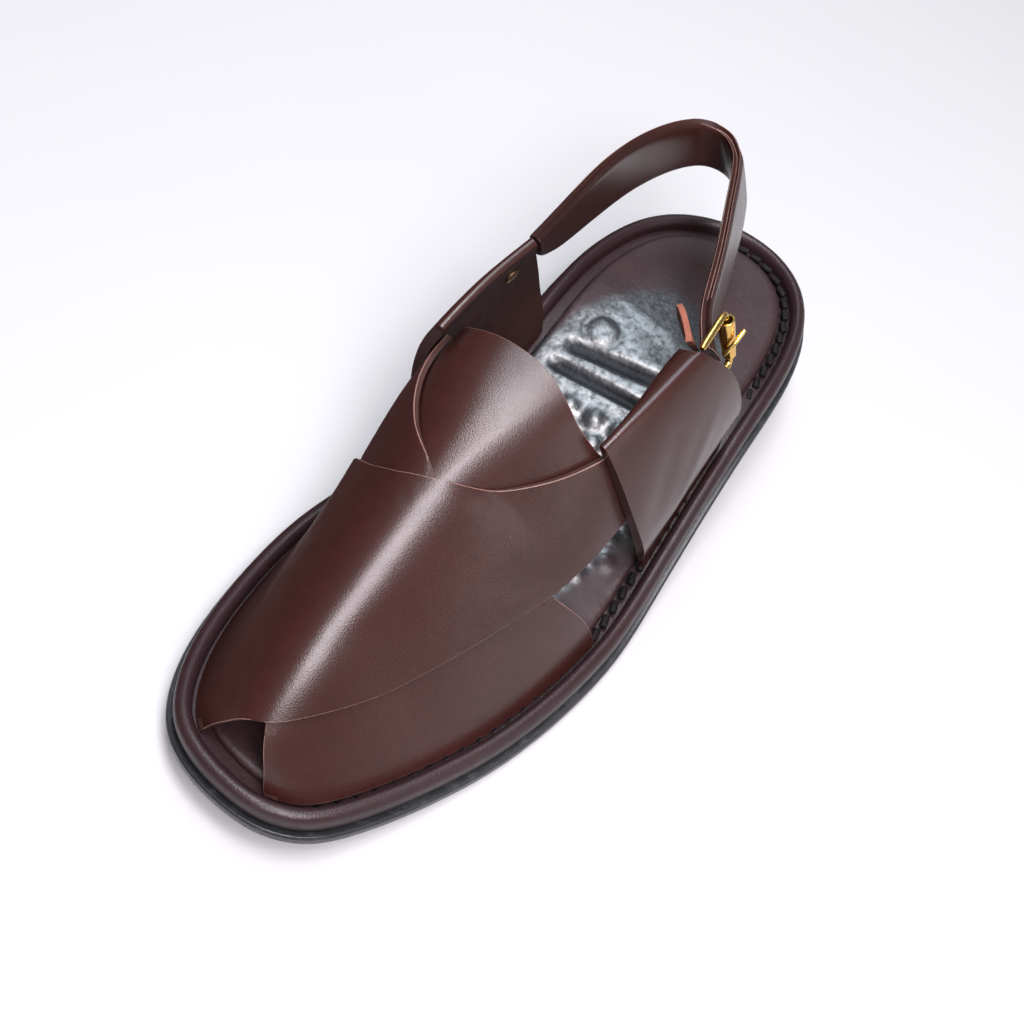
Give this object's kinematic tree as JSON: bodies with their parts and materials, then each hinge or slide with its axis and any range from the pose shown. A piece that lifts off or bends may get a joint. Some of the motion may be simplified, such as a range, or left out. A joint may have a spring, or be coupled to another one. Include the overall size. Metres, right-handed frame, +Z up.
{
  "type": "peshawari chappal sandal, left shoe",
  "caption": "Open-toe leather sandal for the left foot: two wide crossed straps, tongue, slack heel strap with side buckle, bead-rimmed platform sole and block heel.",
  "frame": {"origin": "on the floor, under the middle of the sole's bounding box", "axes": "+X to the outer side of the left foot, +Y to the heel, toe at -Y, +Z up"},
  "size_m": [0.1094, 0.295, 0.0901],
  "materials": {
    "upper_leather": "polished oxblood brown leather with a soft gloss",
    "rim_leather": "dark brown wrapped leather, satin",
    "insole_leather": "dark padded leather, black and glossy in the middle",
    "black_rubber": "black, dull",
    "tan_leather": "undyed tan leather, matt",
    "brass": "polished",
    "dark_brass": "antiqued"
  },
  "bodies": {
    "root": {"outsole": "black_rubber", "heel_block": "black_rubber", "midsole": "rim_leather", "insole": "insole_leather", "upper": "upper_leather", "tongue": "upper_leather", "quarter_lateral": "upper_leather", "quarter_medial": "upper_leather", "heel_strap": "upper_leather", "buckle_tab": "tan_leather", "buckle_frame": "brass", "buckle_roller": "brass", "buckle_prong": "brass", "rivet_medial": "dark_brass"}
  },
  "joints": []
}
